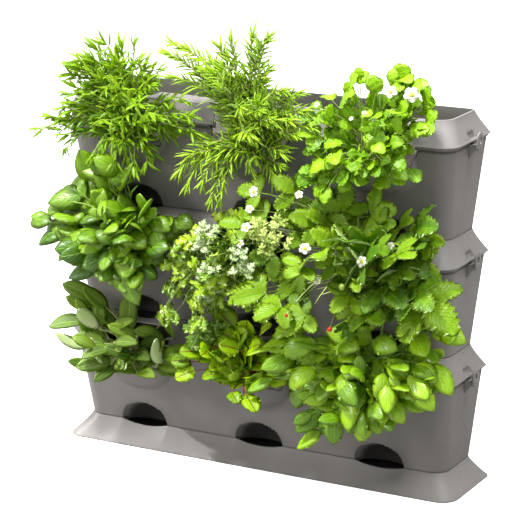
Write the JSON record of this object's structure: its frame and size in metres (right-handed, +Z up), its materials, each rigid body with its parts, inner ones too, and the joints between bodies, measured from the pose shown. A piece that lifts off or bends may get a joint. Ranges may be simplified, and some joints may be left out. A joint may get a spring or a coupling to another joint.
{
  "type": "vertical planter tower",
  "caption": "Free-standing vertical planter: stacked planting troughs with front pockets, sloping cover frames, a flared base tray, soil and herbs.",
  "frame": {"origin": "on the floor, under the middle of the trough rims, on the underside of the base tray", "axes": "+X to the right along the troughs, +Y to the back, away from the planting pockets, +Z up"},
  "size_m": [0.7103, 0.2672, 0.6695],
  "materials": {
    "grey_plastic": "satin moulded mid grey",
    "soil": "dark crumbly potting soil",
    "sage_leaf": "living leaves",
    "sorrel_leaf": "living leaves",
    "broad_basil_leaf": "living leaves",
    "cupped_basil_leaf": "living leaves",
    "parsley_leaf": "living leaves",
    "strawberry_leaf": "living leaves",
    "tarragon_leaf": "living leaves",
    "rosemary_leaf": "living leaves",
    "round_leaf_leaf": "living leaves"
  },
  "bodies": {
    "base": {"base_tray": "grey_plastic"},
    "trough_bottom": {"trough_bottom": "grey_plastic", "soil_bottom": "soil", "eyelet_left_bottom": "grey_plastic", "eyelet_right_bottom": "grey_plastic", "sage_plant": "sage_leaf", "sorrel_plant": "sorrel_leaf", "broad_basil_plant": "broad_basil_leaf"},
    "cover_bottom": {"cover_bottom": "grey_plastic"},
    "trough_middle": {"trough_middle": "grey_plastic", "soil_middle": "soil", "eyelet_left_middle": "grey_plastic", "eyelet_right_middle": "grey_plastic", "cupped_basil_plant": "cupped_basil_leaf", "parsley_plant": "parsley_leaf", "strawberry_plant": "strawberry_leaf"},
    "cover_middle": {"cover_middle": "grey_plastic"},
    "trough_top": {"trough_top": "grey_plastic", "soil_top": "soil", "eyelet_left_top": "grey_plastic", "eyelet_right_top": "grey_plastic", "tarragon_plant": "tarragon_leaf", "rosemary_plant": "rosemary_leaf", "round_leaf_plant": "round_leaf_leaf"},
    "cover_top": {"cover_top": "grey_plastic"}
  },
  "joints": [
    {"name": "trough_bottom_lift", "type": "slide", "parent": "base", "child": "trough_bottom", "axis": [0, 0, 1], "range_m": [0, 0.15]},
    {"name": "cover_bottom_lift", "type": "slide", "parent": "trough_bottom", "child": "cover_bottom", "axis": [0, 0, 1], "range_m": [0, 0.1]},
    {"name": "trough_middle_lift", "type": "slide", "parent": "cover_bottom", "child": "trough_middle", "axis": [0, 0, 1], "range_m": [0, 0.15]},
    {"name": "cover_middle_lift", "type": "slide", "parent": "trough_middle", "child": "cover_middle", "axis": [0, 0, 1], "range_m": [0, 0.1]},
    {"name": "trough_top_lift", "type": "slide", "parent": "cover_middle", "child": "trough_top", "axis": [0, 0, 1], "range_m": [0, 0.15]},
    {"name": "cover_top_lift", "type": "slide", "parent": "trough_top", "child": "cover_top", "axis": [0, 0, 1], "range_m": [0, 0.1]}
  ]
}
